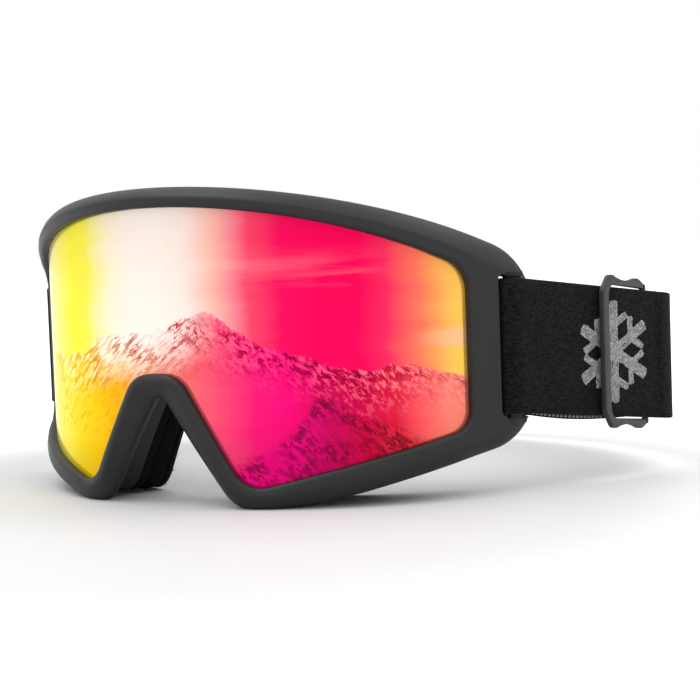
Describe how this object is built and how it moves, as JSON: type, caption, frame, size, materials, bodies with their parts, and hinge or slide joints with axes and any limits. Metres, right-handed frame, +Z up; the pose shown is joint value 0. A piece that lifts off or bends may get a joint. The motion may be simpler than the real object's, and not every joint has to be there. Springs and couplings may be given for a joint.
{
  "type": "ski goggles",
  "caption": "Ski goggles with a cylindrical mirrored double lens, a soft one-piece frame, layered face foam and an elastic head strap with length sliders.",
  "frame": {"origin": "middle of the whole object's footprint on the surface it rests on: midway between both sliders, and midway between the frame's front and the head band's back", "axes": "+Z up, -Y the way the lens faces, +X the wearer's left"},
  "size_m": [0.2262, 0.1864, 0.0932],
  "materials": {
    "frame_tpu": "satin",
    "mirror_lens": "mirror coated",
    "gasket_foam": "matte",
    "inner_lens": "clear",
    "vent_foam": "open cell",
    "foam_firm": "fine cell",
    "foam_soft": "fine cell",
    "fleece": "brushed",
    "webbing": "woven",
    "slider": "satin",
    "thread": "twisted",
    "embroidery": "embroidered",
    "silicone": "satin"
  },
  "bodies": {
    "goggle_body": {"frame": "frame_tpu", "outer_lens": "mirror_lens", "lens_gasket": "gasket_foam", "inner_lens": "inner_lens", "vent_foam_top": "vent_foam", "vent_foam_cheek_left": "vent_foam", "vent_foam_cheek_right": "vent_foam", "foam_base": "foam_firm", "foam_core": "foam_soft", "foam_fleece": "fleece", "strap_rear": "webbing", "grip_rear": "silicone"},
    "strap_left": {"strap_outer_left": "webbing", "strap_return_left": "webbing", "emblem_left": "embroidery", "grip_return_left": "silicone"},
    "strap_right": {"strap_outer_right": "webbing", "strap_return_right": "webbing", "emblem_right": "embroidery", "grip_return_right": "silicone"},
    "slider_left": {"slider_left": "slider", "sewn_end_left": "thread"},
    "slider_right": {"slider_right": "slider", "sewn_end_right": "thread"}
  },
  "joints": [
    {"name": "strap_left_swing", "type": "hinge", "parent": "goggle_body", "child": "strap_left", "pos_m": [0.08734, -0.03319, 0.0432], "axis": [0, 0, 1], "range_deg": [-12, 10], "deforming": ["strap_rear", "grip_rear"]},
    {"name": "slider_left_slide", "type": "slide", "parent": "strap_left", "child": "slider_left", "axis": [-0.3561, -0.9276, 0.1133], "range_m": [0, 0.018], "deforming": ["strap_return_left", "grip_return_left"]},
    {"name": "strap_right_swing", "type": "hinge", "parent": "goggle_body", "child": "strap_right", "pos_m": [-0.08734, -0.03319, 0.0432], "axis": [0, 0, 1], "range_deg": [-10, 12], "deforming": ["strap_rear", "grip_rear"]},
    {"name": "slider_right_slide", "type": "slide", "parent": "strap_right", "child": "slider_right", "axis": [0.3561, -0.9276, 0.1133], "range_m": [0, 0.018], "deforming": ["strap_return_right", "grip_return_right"]}
  ]
}
